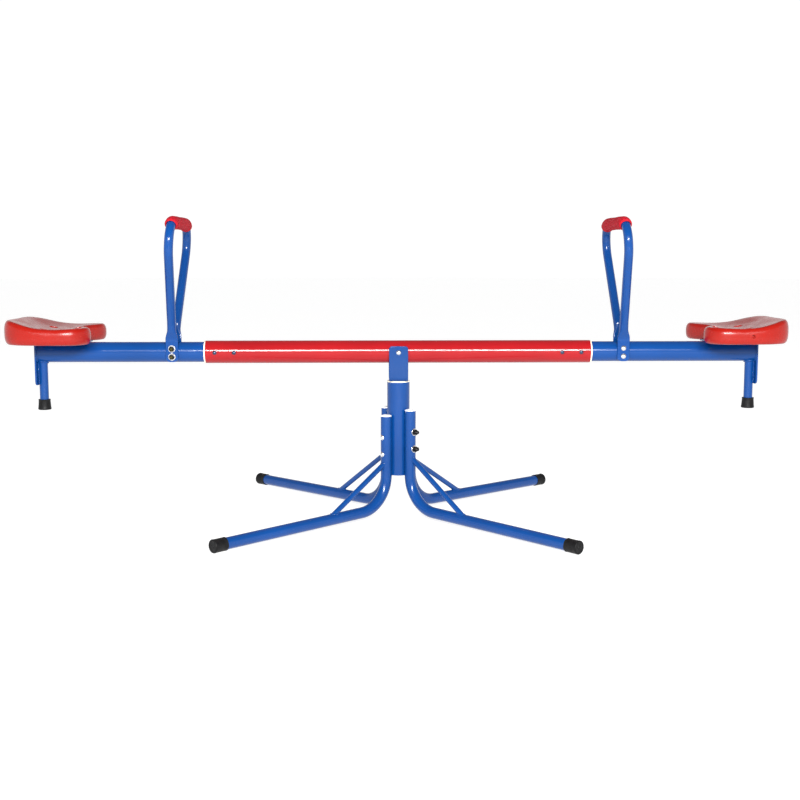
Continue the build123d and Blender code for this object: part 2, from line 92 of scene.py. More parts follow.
# Handles: crossbar and uprights in their own leaning plane, heights above its hinge line.
HANDLE_X = 563.5
HANDLE_LEAN = radians(4.0)
HANDLE_HINGE = 34.0  # above the beam's centreline
HANDLE_HALF = 138.0
HANDLE_TOP = 286.0
HANDLE_CORNER = 48.0
HANDLE_TUBE_R = 11.0
HANDLE_BOLT_RISES = (-10.0, 10.0)

# Seats and the joints of the centre tube.
SEAT_MIDDLE = Vector((861.0, 0, 0))
SEAT_BOLT_X = (790.0, 872.0)
SEAT_BOLT_Y = (-45.0, 45.0)
POCKET_RISE = 22.0  # floor of a bolt pocket above the seat's underside
JOINT_BOLT_X = (410.0, 458.0)

# Fasteners: washers are outer and inner diameter and thickness, nuts are width across flats,
# height and bore, threads are diameter and pitch, heads are radius, height and edge.
M8_WASHER = (18.0, 8.2, 1.5)
M8_NUT = (13.0, 6.8, 7.6)
M8_THREAD = (8.0, 1.25)
M6_WASHER = (12.0, 6.2, 1.4)
M6_NUT = (10.0, 6.0, 5.7)
M6_THREAD = (6.0, 1.0)
LEG_HEAD = (6.75, 4.6, 1.1)
PIVOT_HEAD = (6.0, 4.4, 1.1)
HANDLE_HEAD = (6.25, 3.6, 0.9)
JOINT_HEAD = (5.25, 3.0, 0.8)
SEAT_HEAD = (6.0, 3.4, 0.9)


# ---- materials ------------------------------------------------------------------------


class Look:
    """One procedural material, with short calls for the nodes it needs."""

    def __init__(self, name, colour, roughness, **sockets):
        self.material = bpy.data.materials.new(name)
        self.material.use_nodes = True
        self.tree = self.material.node_tree
        self.shader = self.tree.nodes["Principled BSDF"]
        self.shader.inputs["Base Color"].default_value = (*colour, 1)
        self.shader.inputs["Roughness"].default_value = roughness
        self.material.diffuse_color = (*colour, 1)
        for socket, value in sockets.items():
            self.shader.inputs[socket.replace("_", " ")].default_value = value
        self.place = self.tree.nodes.new("ShaderNodeTexCoord").outputs["Object"]
        self.height = None

    def node(self, kind, **values):
        made = self.tree.nodes.new(kind)
        for key, value in values.items():
            made.inputs[key.replace("_", " ")].default_value = value
        return made

    def noise(self, scale, detail=2.0, roughness=0.5, stretch=None):
        made = self.node("ShaderNodeTexNoise", Scale=scale, Detail=detail, Roughness=roughness)
        place = self.place
        if stretch:
            mapping = self.node("ShaderNodeMapping", Scale=stretch)
            self.tree.links.new(place, mapping.inputs["Vector"])
            place = mapping.outputs["Vector"]
        self.tree.links.new(place, made.inputs["Vector"])
        return made.outputs["Fac"]

    def cells(self, scale, randomness=1.0):
        made = self.node("ShaderNodeTexVoronoi", Scale=scale, Randomness=randomness)
        self.tree.links.new(self.place, made.inputs["Vector"])
        return made.outputs["Distance"]

    def ramp(self, source, start, end, first, last):
        """Source remapped from start-end to first-last."""
        made = self.node("ShaderNodeMapRange", From_Min=start, From_Max=end, To_Min=first, To_Max=last)
        self.tree.links.new(source, made.inputs["Value"])
        return made.outputs["Result"]

    def colour(self, source, first, last, start=0.35, end=0.65):
        """Base colour that drifts between two shades."""
        share = self.ramp(source, start, end, 0.0, 1.0)
        mix = self.tree.nodes.new("ShaderNodeMix")
        mix.data_type = "RGBA"
        colours = [socket for socket in mix.inputs if socket.type == "RGBA"]
        colours[0].default_value = (*first, 1)
        colours[1].default_value = (*last, 1)
        self.tree.links.new(share, mix.inputs["Factor"])
        result = [socket for socket in mix.outputs if socket.type == "RGBA"][0]
        self.tree.links.new(result, self.shader.inputs["Base Color"])
        return self

    def rough(self, source, first, last, start=0.3, end=0.7):
        self.tree.links.new(self.ramp(source, start, end, first, last), self.shader.inputs["Roughness"])
        return self

    def bump(self, source, distance, strength=1.0):
        """Adds a layer of relief, distance in metres."""
        made = self.node("ShaderNodeBump", Strength=strength, Distance=distance)
        self.tree.links.new(source, made.inputs["Height"])
        if self.height:
            self.tree.links.new(self.height, made.inputs["Normal"])
        self.height = made.outputs["Normal"]
        self.tree.links.new(self.height, self.shader.inputs["Normal"])
        if self.shader.inputs["Coat Weight"].default_value:
            self.tree.links.new(self.height, self.shader.inputs["Coat Normal"])
        return self


def shade(colour, factor):
    """A colour made lighter or darker."""
    return tuple(min(1.0, part * factor) for part in colour)


def powder_coat(name, colour, peel, roughness=0.17):
    """Glossy powder coat with orange peel and a faint drift in colour and gloss."""
    look = Look(name, colour, roughness, Coat_Weight=0.15, Coat_Roughness=0.06, Specular_IOR_Level=0.24)
    look.colour(look.noise(9.0, 3.0), shade(colour, 0.93), shade(colour, 1.06))
    look.rough(look.noise(38.0, 3.0), roughness * 0.85, roughness * 1.2)
    look.bump(look.noise(330.0, 1.5), peel)
    return look.material


def moulded_plastic(name, colour):
    """Blow-moulded polyethylene: glossy, slightly wavy, with a fine grain."""
    look = Look(name, colour, 0.25, Specular_IOR_Level=0.36)
    look.colour(look.noise(14.0, 3.0), shade(colour, 0.94), shade(colour, 1.05))
    look.rough(look.noise(55.0, 3.0), 0.2, 0.3)
    look.bump(look.noise(30.0, 1.0), 0.0003)
    look.bump(look.noise(900.0, 1.0), 0.000006)
    return look.material


def foam(name, colour):
    """Closed-cell foam with open pores in its skin."""
    look = Look(name, colour, 0.85, Specular_IOR_Level=0.12)
    look.colour(look.noise(160.0, 4.0, 0.65), shade(colour, 0.84), shade(colour, 1.1))
    look.rough(look.noise(90.0, 2.0), 0.7, 0.9)
    look.bump(look.noise(230.0, 3.0, 0.6), 0.00035)
    look.bump(look.cells(1150.0), 0.0003)
    return look.material


def rubber(name, colour):
    """Matt moulded rubber with a little dust."""
    look = Look(name, colour, 0.5, Specular_IOR_Level=0.15)
    look.colour(look.noise(70.0, 5.0, 0.65), shade(colour, 0.8), shade(colour, 1.7), 0.4, 0.75)
    look.rough(look.noise(120.0, 3.0), 0.4, 0.6)
    look.bump(look.noise(1300.0, 2.0), 0.00005)
    return look.material


def white_plastic(name, colour, roughness):
    """Plain moulded plastic with a fine grain."""
    look = Look(name, colour, roughness)
    look.colour(look.noise(45.0, 3.0), shade(colour, 0.95), shade(colour, 1.04))
    look.rough(look.noise(200.0, 2.0), roughness * 0.85, roughness * 1.2)
    look.bump(look.noise(1200.0, 1.0), 0.00002)
    return look.material


def metal(name, colour, roughness, spread, stretch=None):
    """Plated or oiled steel with patchy gloss and fine marks."""
    look = Look(name, colour, roughness, Metallic=1.0)
    look.colour(look.noise(220.0, 4.0, 0.6), shade(colour, 0.86), shade(colour, 1.08))
    look.rough(look.noise(420.0, 4.0, 0.65, stretch), roughness - spread, roughness + spread)
    look.bump(look.noise(1800.0, 3.0, 0.6, stretch), 0.000025)
    return look.material


BLUE = powder_coat("blue_powder_coat", (0.002, 0.044, 0.195), 0.000003)
# Coarser orange peel than BLUE, and a base colour about 15% darker than BLUE: painted shade on the
# bracket's flat faces.
SHADED_BRACKET_BLUE = powder_coat("blue_powder_coat_coarse_painted_shade", (0.002, 0.038, 0.165), 0.00014, 0.2)
RED = powder_coat("red_powder_coat", (0.295, 0.006, 0.009), 0.000003)
SEAT_RED = moulded_plastic("red_polyethylene", (0.285, 0.006, 0.002))
FOAM_RED = foam("red_foam", (0.42, 0.009, 0.02))
RUBBER = rubber("black_rubber", (0.006, 0.006, 0.0065))
PLUG_WHITE = white_plastic("white_polyethylene", (0.86, 0.87, 0.88), 0.35)
NYLON = white_plastic("natural_nylon", (0.83, 0.77, 0.62), 0.4)
ZINC = metal("zinc_plate", (0.78, 0.79, 0.8), 0.24, 0.07)
# Threaded ends of the handle bolts: yellow zinc darkened to near black, painted shade in the thread
# grooves.
SHADED_YELLOW_ZINC = metal("yellow_zinc_painted_shade", (0.05, 0.045, 0.018), 0.4, 0.08)
BLACK_STEEL = metal("black_oxide", (0.022, 0.022, 0.024), 0.36, 0.08)
BLUED_STEEL = metal("blued_steel", (0.06, 0.075, 0.12), 0.3, 0.08)
BARE_STEEL = metal("turned_steel", (0.5, 0.5, 0.51), 0.3, 0.08, (1.0, 1.0, 14.0))

CAD_LOOKS = {
    "post_tube": BLUE,
    "bush": NYLON,
    "leg": BLUE,
    "spindle": BARE_STEEL,
    "centre_tube": RED,
    "pivot_sleeve": BARE_STEEL,
    "joint_sleeve": NYLON,
    "arm_tube": BLUE,
    "foot_tube": BLUE,
    "seat_plate": BLUE,
    "pivot": ZINC,
}


def dress_cad_nodes():
    """Give every CAD node the finish of the longest prefix that fits its name."""
    for name, node in NODES.items():
        fits = [prefix for prefix in CAD_LOOKS if name.startswith(prefix)]
        material = CAD_LOOKS[max(fits, key=len)] if fits else BLUE
        node.data.materials.clear()
        node.data.materials.append(material)


# ---- mesh tools -------------------------------------------------------------------------


def turned(faces_and_points, degrees_about_z):
    """The same mesh turned about the post."""
    points, faces = faces_and_points
    turn = Matrix.Rotation(radians(degrees_about_z), 3, "Z")
    return [turn @ point for point in points], faces


def joined(parts):
    """Several meshes as one."""
    points = []
    faces = []
    for part_points, part_faces in parts:
        first = len(points)
        points += part_points
        faces += [tuple(first + index for index in face) for face in part_faces]
    return points, faces


def piece(name, mesh, body, material, stands_for=(), smooth_angle=35.0):
    """Make one piece of the object from points in millimetres and faces."""
    points, faces = mesh
    data = bpy.data.meshes.new(name)
    data.from_pydata([point * MM for point in points], [], faces)
    data.validate()
    data.materials.append(material)
    made = bpy.data.objects.new(name, data)
    bpy.context.scene.collection.objects.link(made)
    data.polygons.foreach_set("use_smooth", [True] * len(data.polygons))
    data.set_sharp_from_angle(angle=radians(smooth_angle))
    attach(made, body)
    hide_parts(*stands_for)
    return made


def across(direction):
    """Two unit vectors at right angles to a direction."""
    direction = Vector(direction).normalized()
    helper = Vector((1, 0, 0)) if abs(direction.x) < 0.9 else Vector((0, 1, 0))
    first = direction.cross(helper).normalized()
    return direction, first, direction.cross(first)


def bridge(rows, count, closed_rows=False, caps=True):
    """Faces between rows of points, each row a closed ring of count points."""
    faces = []
    last = rows if closed_rows else rows - 1
    for row in range(last):
        here = row * count
        there = (row + 1) % rows * count
        for k in range(count):
            after = (k + 1) % count
            faces.append((here + k, here + after, there + after, there + k))
    if caps and not closed_rows:
        faces.append(tuple(reversed(range(count))))
        faces.append(tuple((rows - 1) * count + k for k in range(count)))
    return faces


def lathe(profile, start, direction, count=40):
    """Solid of revolution. Profile is (radius, height) pairs from the axis and back to it."""
    along, side, up = across(direction)
    start = Vector(start)
    points = [start + along * profile[0][1]]
    for radius, height in profile[1:-1]:
        for k in range(count):
            angle = 2 * pi * k / count
            points.append(start + along * height + (side * cos(angle) + up * sin(angle)) * radius)
    points.append(start + along * profile[-1][1])
    rows = len(profile) - 2
    faces = [tuple(1 + index for index in face) for face in bridge(rows, count, caps=False)]
    tip = len(points) - 1
    for k in range(count):
        after = (k + 1) % count
        faces.append((0, 1 + after, 1 + k))
        faces.append((tip, tip - count + k, tip - count + after))
    return points, faces


def ring(profile, start, direction, count=40):
    """Ring of revolution from a closed profile of (radius, height) pairs."""
    along, side, up = across(direction)
    start = Vector(start)
    points = []
    for radius, height in profile:
        for k in range(count):
            angle = 2 * pi * k / count
            points.append(start + along * height + (side * cos(angle) + up * sin(angle)) * radius)
    return points, bridge(len(profile), count, closed_rows=True)


def arc(centre, radius, first, last, steps):
    """Points (u, v) of an arc, angles in degrees."""
    angles = [radians(first + (last - first) * k / steps) for k in range(steps + 1)]
    return [(centre[0] + radius * cos(a), centre[1] + radius * sin(a)) for a in angles]


def dome(radius, height, edge):
    """Profile of a mushroom head that stands on height 0 and is domed upwards."""
    sphere = (radius**2 + (height - edge) ** 2) / (2 * (height - edge))
    points = [(0, 0), (radius - 0.3, 0), (radius, 0.3), (radius, edge)]
    for k in range(1, 9):
        r = radius * (1 - k / 8)
        points.append((r, edge + sqrt(sphere**2 - r**2) - (sphere - (height - edge))))
    return points


def hex_nut(start, direction, across_flats, height, bore):
    """Lock nut: chamfered hexagon below, round collar above."""
    count = 48
    hexagon = height * 0.72
    corner = across_flats / sqrt(3)
    collar = across_flats * 0.47
    along, side, up = across(direction)
    start = Vector(start)
    rows = [
        (0, across_flats / 2 * 0.96),
        (hexagon * 0.1, corner * 1.01),
        (hexagon * 0.88, corner * 1.01),
        (hexagon, across_flats / 2 * 0.97),
        (hexagon + 0.05, collar),
        (height * 0.93, collar),
        (height, collar * 0.86),
        (height, bore / 2 + 0.05),
        (0, bore / 2 + 0.05),
    ]
    points = []
    for level, limit in rows:
        for k in range(count):
            angle = 2 * pi * k / count
            to_flat = (angle + pi / 6) % (pi / 3) - pi / 6
            radius = min(limit, across_flats / 2 / cos(to_flat))
            points.append(start + along * level + (side * cos(angle) + up * sin(angle)) * radius)
    return points, bridge(len(rows), count, closed_rows=True)


def flat_washer(start, direction, outer, inner, thickness):
    """Stamped washer with a rounded edge on one face."""
    edge = thickness * 0.3
    profile = [
        (inner / 2, 0),
        (outer / 2, 0),
        (outer / 2, thickness - edge),
        (outer / 2 - edge, thickness),
        (inner / 2 + edge, thickness),
        (inner / 2, thickness - edge),
    ]
    return ring(profile, start, direction, 48)


def screw_thread(start, direction, size, length):
    """Threaded end of a bolt, with real helical grooves and a chamfered tip."""
    diameter, pitch = size
    count = 24
    along, side, up = across(direction)
    start = Vector(start)
    depth = pitch * 0.55
    step = pitch / 8
    rows = ceil(length / step) + 1
    points = []
    for row in range(rows):
        height = min(row * step, length)
        tip = max(0.0, height - (length - 0.8))
        for k in range(count):
            phase = (height / pitch - k / count) % 1.0
            groove = depth * max(0.0, 1 - abs(phase - 0.5) * 2 - 0.12)
            radius = min(diameter / 2 - groove, diameter / 2 - tip)
            angle = 2 * pi * k / count
            points.append(start + along * height + (side * cos(angle) + up * sin(angle)) * radius)
    return points, bridge(rows, count)


def rounded_path(points, radii, step):
    """Points along a polyline whose inner corners are rounded to radii."""
    points = [Vector(point) for point in points]
    path = [points[0]]
    for before, corner, after, radius in zip(points, points[1:], points[2:], radii):
        arrive = (corner - before).normalized()
        leave = (after - corner).normalized()
        bend = arrive.angle(leave)
        reach = radius * tan(bend / 2)
        inward = (leave - arrive * cos(bend)).normalized()
        centre = corner - arrive * reach + inward * radius
        steps = max(2, ceil(radius * bend / step))
        for k in range(steps + 1):
            turn = bend * k / steps
            path.append(centre + (arrive * sin(turn) - inward * cos(turn)) * radius)
    path.append(points[-1])
    return path


def divided(path, step):
    """The same path with its long runs cut into steps."""
    points = [path[0]]
    for start, end in zip(path, path[1:]):
        steps = max(1, ceil((end - start).length / step))
        points += [start.lerp(end, (k + 1) / steps) for k in range(steps)]
    return points


def box_ring(half_width, half_depth, corner, steps=6):
    """Closed ring of (u, v) points: a rectangle with rounded corners."""
    corner = min(corner, half_width, half_depth)
    points = []
    for turn in range(4):
        u = (half_width - corner) * (1 if turn in (0, 3) else -1)
        v = (half_depth - corner) * (1 if turn in (0, 1) else -1)
        points += arc((u, v), corner, 90 * turn, 90 * turn + 90, steps)
    return points


def swept(path, sections, width_way, caps=True):
    """Mesh of sections along a path. width_way is the direction of each section's u axis."""
    count = len(sections[0])
    points = []
    for k, place in enumerate(path):
        ahead = path[min(k + 1, len(path) - 1)] - path[max(k - 1, 0)]
        depth = ahead.cross(Vector(width_way)).normalized()
        width = depth.cross(ahead).normalized()
        points += [place + width * u + depth * v for u, v in sections[k]]
    return points, bridge(len(path), count, caps=caps)


def round_ring(radius, count=32):
    return [(radius * cos(2 * pi * k / count), radius * sin(2 * pi * k / count)) for k in range(count)]


def weld_bead(path, radius, closed=False):
    """Bead with the scalloped ripples of a weld run, along a dense path."""
    count = 10
    ripple = 2.1
    points = []
    travelled = 0.0
    total = len(path)
    for k, place in enumerate(path):
        after = path[(k + 1) % total] if closed else path[min(k + 1, total - 1)]
        before = path[k - 1] if closed else path[max(k - 1, 0)]
        _, side, up = across(after - before)
        travelled += (place - path[k - 1]).length if k else 0.0
        swell = abs(sin(pi * travelled / ripple))
        wander = 0.06 * sin(travelled * 0.9) + 0.05 * sin(travelled * 0.37 + 1.3)
        size = radius * (0.86 + 0.16 * swell + wander)
        if not closed:
            ends = min(k, total - 1 - k) / 3
            size *= min(1.0, 0.35 + 0.65 * ends)
        for j in range(count):
            angle = 2 * pi * j / count
            points.append(place + (side * cos(angle) + up * sin(angle)) * size)
    return points, bridge(total, count, closed_rows=closed)


def circle_path(centre, normal, radius, step=0.7):
    """Closed circle of points about a normal."""
    _, side, up = across(normal)
    count = ceil(2 * pi * radius / step)
    angles = [2 * pi * k / count for k in range(count)]
    return [Vector(centre) + (side * cos(a) + up * sin(a)) * radius for a in angles]


# ---- base ---------------------------------------------------------------------------------


def leg_height(radius):
    """Height of the centreline of a leg's foot at a distance from the post's axis."""
    return LEG_END_Z + (LEG_REACH - radius) * tan(LEG_SLOPE)


def brace_welds(top_z):
    """Beads where a brace meets the upright and the foot of its leg, with the leg along +X."""
    start = Vector((LEG_R, 0, top_z - BRACE_DROP))
    foot = Vector((BRACE_FOOT, 0, leg_height(BRACE_FOOT)))
    along = (foot - start).normalized()
    up = Vector((-along.z, 0, along.x))
    out = Vector((0, 1, 0))
    foot_normal = Vector((sin(LEG_SLOPE), 0, cos(LEG_SLOPE)))
    top = []
    bottom = []
    steps = 72
    for k in range(steps):
        angle = 2 * pi * k / steps
        rim = up * (BRACE_R * cos(angle)) + out * (BRACE_R * sin(angle))
        reach = sqrt(LEG_TUBE_R**2 - rim.y**2)
        top.append(start + rim + along * ((reach - rim.x) / along.x))
        rise = rim.dot(foot_normal)
        bottom.append(foot + rim + along * ((reach - rise) / along.dot(foot_normal)))
    return joined([weld_bead(divided_ring(path), 1.9, closed=True) for path in (top, bottom)])


def divided_ring(path, step=0.7):
    """A closed path cut into short steps."""
    return divided(path + [path[0]], step)[:-1]


def leg_cap():
    """Rubber cap of a leg, with a rolled lip, a moulded rim round its end and a worn flat."""
    profile = [(0, 1.1), (3.0, 1.1), (3.6, 0.3), (4.6, 0.3), (5.2, 1.1), (11.2, 1.1), (12.0, 0.3)]
    profile += arc((12.8, 3.2), 3.2, -90, 0, 6)
    profile += [(15.95, 5.0), (15.6, 5.8), (15.5, 30.5), (15.6, 32.0)]
    profile += arc((15.0, 34.2), 0.95, -50, 90, 7)
    profile += [(14.1, 35.4), (14.1, 24.0), (0, 24.0)]
    away = Vector((-cos(LEG_SLOPE), 0, sin(LEG_SLOPE)))
    points, faces = lathe(profile, (LEG_REACH, 0, LEG_END_Z), away, 64)
    return [Vector((p.x, p.y, max(p.z, 0.0))) for p in points], faces


def leg_plug(top_z):
    """Domed plug with a thin rim that sits on the cut end of the tube."""
    profile = [(0, -6), (12.3, -6), (12.4, 0.02), (13.9, 0.02), (14.0, 0.3), (14.0, 1.0)]
    profile += [(13.6, 1.5), (12.6, 2.3), (11.0, 3.1), (8.5, 3.9), (5.5, 4.35), (2.5, 4.5), (0, 4.5)]
    return lathe(profile, (LEG_R, 0, top_z), (0, 0, 1), 48)


def leg_fasteners():
    """Heads, threaded ends, washers and nuts that clamp the legs, as four meshes."""
    face = LEG_R + LEG_TUBE_R
    heads = []
    threads = []
    washers = []
    nuts = []
    for place in HEAD_SIDE_LEGS:
        angle = leg_angle(place)
        top_z = high(f"leg_{place}").z
        for z in (top_z - drop for drop in LEG_BOLT_DROPS):
            away = (-1, 0, 0)
            heads.append(turned(lathe(dome(*LEG_HEAD), (face - 0.4, 0, z), (1, 0, 0), 48), angle))
            washers.append(turned(flat_washer((-face + 0.1, 0, z), away, *M8_WASHER), angle))
            nuts.append(turned(hex_nut((-face - 1.5, 0, z), away, *M8_NUT), angle))
            threads.append(turned(screw_thread((-face, 0, z), away, M8_THREAD, 15), angle))
    return [joined(parts) for parts in (heads, threads, washers, nuts)]


def make_base():
    """Pieces that stand on the floor."""
    for place in LEG_PLACES:
        angle = leg_angle(place)
        top_z = high(f"leg_{place}").z
        plug = turned(leg_plug(top_z), angle)
        piece(f"plug_{place}", plug, "base", PLUG_WHITE, [f"leg_plug_{place}"])
        cap = turned(leg_cap(), angle)
        piece(f"rubber_cap_{place}", cap, "base", RUBBER, [f"leg_cap_{place}"])
        piece(f"brace_welds_{place}", turned(brace_welds(top_z), angle), "base", BLUE)
    heads, threads, washers, nuts = leg_fasteners()
    piece("leg_bolt_heads", heads, "base", ZINC, ["leg_bolts"])
    # The threaded ends take the black steel of the nuts rather than the zinc of their own heads: painted
    # shade on the bolt ends.
    piece("leg_bolt_threads", threads, "base", BLACK_STEEL, ["leg_bolts"])
    piece("leg_bolt_washers", washers, "base", ZINC, ["leg_washers"])
    piece("leg_bolt_nuts", nuts, "base", BLACK_STEEL, ["leg_nuts"])


# ---- swivel ---------------------------------------------------------------------------------


def bevelled(made, width, segments=3):
    """Round the sharp edges of a piece by width millimetres."""
    modifier = made.modifiers.new("edges", "BEVEL")
    modifier.width = width * MM
    modifier.segments = segments
    modifier.limit_method = "ANGLE"
    modifier.angle_limit = radians(50)
    modifier.harden_normals = True
    return made


def bracket():
    """U-shaped strap, narrowed at the tops of its ears."""
    thickness = 4.0
    middle = BRACKET_FACE - thickness / 2
    chamfer = 5.0
    bottom = BRACKET_BASE + thickness / 2
    corners = [(0, -middle, BRACKET_TOP), (0, -middle, bottom)]
    corners += [(0, middle, bottom), (0, middle, BRACKET_TOP)]
    path = rounded_path(corners, (8.0, 8.0), 1.2)
    down = Vector((0, 0, chamfer))
    path = [path[0], path[0] - down] + path[1:-1] + [path[-1] - down, path[-1]]
    sections = []
    for k in range(len(path)):
        half = BRACKET_HALF_WIDTH - (chamfer if k in (0, len(path) - 1) else 0)
        depth = thickness / 2
        sections.append([(half, depth), (-half, depth), (-half, -depth), (half, -depth)])
    return swept(path, sections, (1, 0, 0))


def make_swivel():
    """Pieces that turn on the post without tipping."""
    strap = piece("bracket_strap", bracket(), "swivel", SHADED_BRACKET_BLUE, ["swivel_bracket"])
    bevelled(strap, 1.6)
    top = BRACKET_BASE + 4.0
    bead = weld_bead(circle_path((0, 0, top), (0, 0, 1), 12.8), 1.9, closed=True)
    piece("spindle_weld", bead, "swivel", BLUE)
    face = BRACKET_FACE
    head = lathe(dome(*PIVOT_HEAD), (0, -face, BEAM_Z), (0, -1, 0), 48)
    shank = lathe([(0, 0), (4, 0), (4, 2 * face), (0, 2 * face)], (0, -face, BEAM_Z), (0, 1, 0), 32)
    thread = screw_thread((0, face, BEAM_Z), (0, 1, 0), M8_THREAD, 12)
    piece("pivot_bolt_detail", joined([head, shank, thread]), "swivel", ZINC, ["pivot_bolt"])
    nut = hex_nut((0, face + 1.6, BEAM_Z), (0, 1, 0), *M8_NUT)
    piece("pivot_lock_nut", nut, "swivel", ZINC, ["pivot_nut"])
    washer = flat_washer((0, face + 0.05, BEAM_Z), (0, 1, 0), *M8_WASHER)
    piece("pivot_flat_washer", washer, "swivel", ZINC, ["pivot_washer"])


# ---- beam -----------------------------------------------------------------------------------


def end_plate():
    """Plate across the end of the arm, rounded at its lower corners."""
    box_low = low("end_plate_right")
    box_high = high("end_plate_right")
    half = box_high.y
    radius = 12.0
    outline = [(half, box_high.z), (-half, box_high.z)]
    outline += arc((-half + radius, box_low.z + radius), radius, 180, 270, 8)
    outline += arc((half - radius, box_low.z + radius), radius, 270, 360, 8)
    points = [Vector((x, y, z)) for x in (box_low.x, box_high.x) for y, z in outline]
    return points, bridge(2, len(outline))


def arm_end_welds():
    """Beads round the arm's end, down both sides of the foot tube, and round its top."""
    round_arm = circle_path((ARM_END - 0.3, 0, BEAM_Z), (1, 0, 0), ARM_R + 0.4)
    beads = [weld_bead(round_arm, 2.1, closed=True)]
    bottom = low("end_plate_right").z + 1.5
    for side in (-1, 1):
        start = Vector((ARM_END - 0.9, side * 4.6, bottom))
        end = Vector((ARM_END - 0.9, side * 4.6, BEAM_Z - ARM_R - 1))
        beads.append(weld_bead(divided([start, end], 0.7), 1.9))
    saddle = []
    steps = 96
    saddle_r = FOOT_R + 0.6
    for k in range(steps):
        angle = 2 * pi * k / steps
        y = saddle_r * sin(angle)
        x = min(FOOT_X + saddle_r * cos(angle), ARM_END - 0.5)
        saddle.append(Vector((x, y, BEAM_Z - sqrt(ARM_R**2 - y**2) - 0.5)))
    beads.append(weld_bead(divided_ring(saddle), 2.5, closed=True))
    return joined(beads)


def seat_plate_welds():
    """Stitches between the seat plate and the arm, two on each side."""
    box_low = low("seat_plate_right")
    box_high = high("seat_plate_right")
    z = box_low.z - 0.3
    y = sqrt(ARM_R**2 - (z - BEAM_Z) ** 2) + 0.8
    beads = []
    for side in (-1, 1):
        for first in (box_low.x + 6, box_high.x - 36):
            start = Vector((first, side * y, z))
            beads.append(weld_bead(divided([start, start + Vector((30, 0, 0))], 0.7), 1.8))
    return joined(beads)


def foot_cap():
    """Flared rubber foot with a lip at its mouth and a moulded ring round its base."""
    bottom = low("foot_cap_right").z
    profile = [(0, 0.8), (8.5, 0.8), (9.3, 0.0), (13.6, 0.0)]
    profile += arc((13.9, 2.35), 2.35, -90, 10, 6)
    profile += [(16.1, 4.6), (15.6, 6.4), (15.2, 12.0), (14.7, 19.0), (14.45, 23.3)]
    profile += arc((14.0, 25.3), 1.0, -40, 120, 7)
    profile += [(12.4, 26.1), (11.1, 26.0), (11.1, 18.0), (0, 18.0)]
    return lathe(profile, (FOOT_X, 0, bottom), (0, 0, 1), 64)


def lean_point(y, height):
    """Point of the handle's own plane, which leans towards the post."""
    x = HANDLE_X - height * sin(HANDLE_LEAN)
    return Vector((x, y, BEAM_Z + HANDLE_HINGE + height * cos(HANDLE_LEAN)))


def handle_path(step):
    """Centreline of a handle from one flattened end to the other."""
    flat_y = 27.5
    half = [Vector((HANDLE_X, flat_y, BEAM_Z - 23.0)), Vector((HANDLE_X, flat_y, BEAM_Z + 32.0))]
    half += [lean_point(40.5, 38.5), lean_point(HANDLE_HALF, 218.0), lean_point(HANDLE_HALF, HANDLE_TOP)]
    mirrored = [Vector((p.x, -p.y, p.z)) for p in reversed(half)]
    bends = [18.0, 45.0, 60.0, HANDLE_CORNER]
    return divided(rounded_path(half + mirrored, bends + bends[::-1], step), step)


def smooth_step(value, first, last):
    """Smooth rise from 0 at first to 1 at last."""
    share = max(0.0, min(1.0, (value - first) / (last - first)))
    return share * share * (3 - 2 * share)


def handle():
    """Handle tube whose ends are pressed flat, with the shoulders that pressing leaves."""
    path = handle_path(2.5)
    travelled = [0.0]
    for here, there in zip(path, path[1:]):
        travelled.append(travelled[-1] + (there - here).length)
    total = travelled[-1]
    radius = HANDLE_TUBE_R
    flat_half = 15.5
    flat_depth = 2.0
    end_corner = 9.0
    sections = []
    for distance in travelled:
        end = min(distance, total - distance)
        open_up = smooth_step(end, 54.0, 96.0)
        narrow = smooth_step(end, 56.0, 82.0)
        half_width = flat_half + (radius - flat_half) * narrow
        half_depth = flat_depth + (radius - flat_depth) * open_up
        if end < end_corner:
            half_width -= end_corner - sqrt(end_corner**2 - (end_corner - end) ** 2)
        sections.append(box_ring(half_width, half_depth, min(half_width, half_depth), 8))
    return swept(path, sections, (1, 0, 0))


def grip():
    """Foam sleeve over the crossbar and part of its corners, with soft ends and a slight slump."""
    corner = HANDLE_CORNER
    reach = HANDLE_HALF - corner
    top = HANDLE_TOP
    start = 57.0  # degrees round the corner at which the foam ends
    bend_steps = 22
    bar_steps = 60
    half = []
    for k in range(bend_steps):
        angle = radians(start + (90 - start) * k / (bend_steps - 1))
        half.append((reach + corner * cos(angle), top - corner + corner * sin(angle)))
    bar = [(reach - 2 * reach * k / bar_steps, top) for k in range(1, bar_steps)]
    path = [lean_point(y, z) for y, z in half + bar + [(-y, z) for y, z in reversed(half)]]
    travelled = [0.0]
    for here, there in zip(path, path[1:]):
        travelled.append(travelled[-1] + (there - here).length)
    total = travelled[-1]
    inner = 11.3
    lip = 5.0
    lip_profile = ((0.0, 0.8), (0.5, 0.25), (1.6, 0.0), (2.9, 0.12), (4.0, 0.5))
    end_rows = [(inner + rise, share) for rise, share in lip_profile]
    first_away = (path[1] - path[0]).normalized()
    last_away = (path[-1] - path[-2]).normalized()
    rows = [(path[0] + first_away * (lip * share), first_away, size) for size, share in end_rows]
    for k, distance in enumerate(travelled):
        if lip < distance < total - lip:
            near_end = smooth_step(min(distance, total - distance), 0, 40)
            slump = 0.25 * (1 + sin(distance * 0.061 + 0.8)) * near_end
            size = 16.0 - slump
            rows.append((path[k], path[k + 1] - path[k - 1], size))
    for size, share in reversed(end_rows):
        rows.append((path[-1] - last_away * (lip * share), last_away, size))
    points = []
    for place, ahead, size in rows:
        depth = ahead.cross(Vector((1, 0, 0))).normalized()
        width = depth.cross(ahead).normalized()
        points += [place + width * u + depth * v for u, v in round_ring(size, 48)]
    return points, bridge(len(rows), 48)


